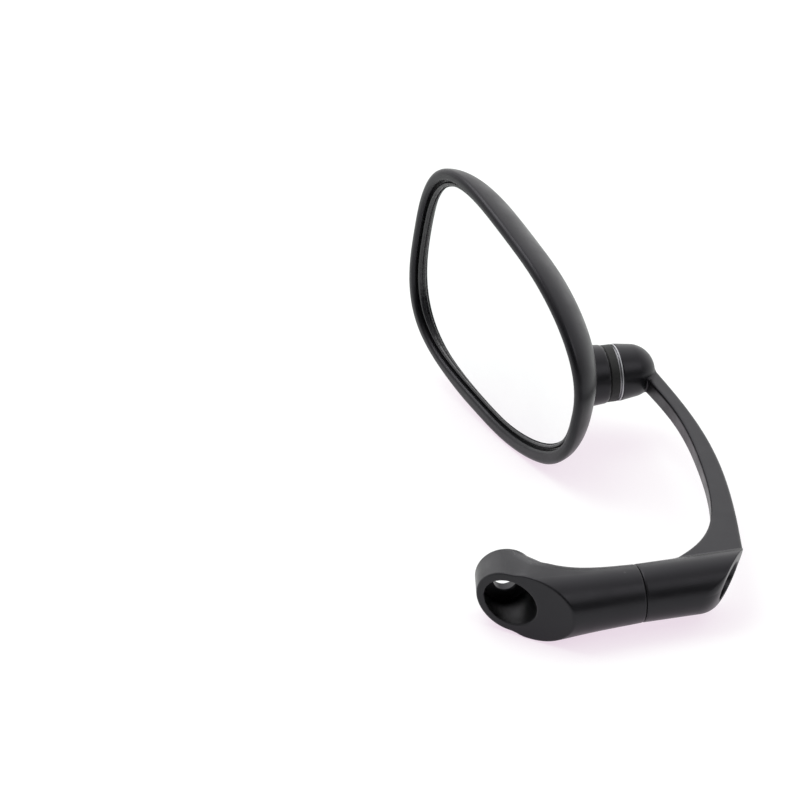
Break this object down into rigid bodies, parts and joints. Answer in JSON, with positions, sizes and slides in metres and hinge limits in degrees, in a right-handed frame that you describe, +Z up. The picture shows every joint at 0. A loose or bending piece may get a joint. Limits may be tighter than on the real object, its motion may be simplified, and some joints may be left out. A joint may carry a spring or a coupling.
{
  "type": "motorcycle mirror",
  "caption": "Bar-end motorcycle mirror with an elbow mount, a swivelling curved arm and an egg-shaped head on a ball joint.",
  "frame": {"origin": "centre of the bar bolt's hole at the seat that meets the bar's end", "axes": "+Y into the bar along the bolt's hole, +Z up as the mirror lies on a table, +X along the barrel side towards the arm"},
  "size_m": [0.1033, 0.2201, 0.0991],
  "materials": {
    "black_alloy": "satin black anodised",
    "bare_alloy": "turned",
    "steel": "plain",
    "liner": "matte",
    "rubber": "matte",
    "foam": "matte",
    "gasket": "satin",
    "mirror": "polished"
  },
  "bodies": {
    "base": {"bar_mount": "black_alloy", "swivel_bolt": "steel", "swivel_washer": "steel", "swivel_spring_washer": "steel"},
    "swing_arm": {"arm": "black_alloy", "retaining_ring": "bare_alloy"},
    "pan_carrier": {"rear_liner": "liner"},
    "tilt_carrier": {"front_liner": "liner"},
    "head": {"ball_stud": "steel", "joint_seal": "rubber", "mirror_shell": "black_alloy", "stud_washer": "steel", "stud_nut": "steel", "glass_pad": "foam", "mirror_glass": "mirror", "glass_gasket": "gasket"}
  },
  "joints": [
    {"name": "arm_swivel", "type": "hinge", "parent": "base", "child": "swing_arm", "pos_m": [0.04593, -0.01833, 0], "axis": [0.9877, 0.1564, 0], "continuous": true},
    {"name": "head_pan", "type": "hinge", "parent": "swing_arm", "child": "pan_carrier", "pos_m": [0.06286, 0.12023, 0.0135], "axis": [0, 0, 1], "range_deg": [-12, 12]},
    {"name": "head_tilt", "type": "hinge", "parent": "pan_carrier", "child": "tilt_carrier", "pos_m": [0.06286, 0.12023, 0.0135], "axis": [-0.1564, 0.9877, 0], "range_deg": [-12, 12]},
    {"name": "head_spin", "type": "hinge", "parent": "tilt_carrier", "child": "head", "pos_m": [0.06286, 0.12023, 0.0135], "axis": [-0.9877, -0.1564, 0], "continuous": true}
  ]
}
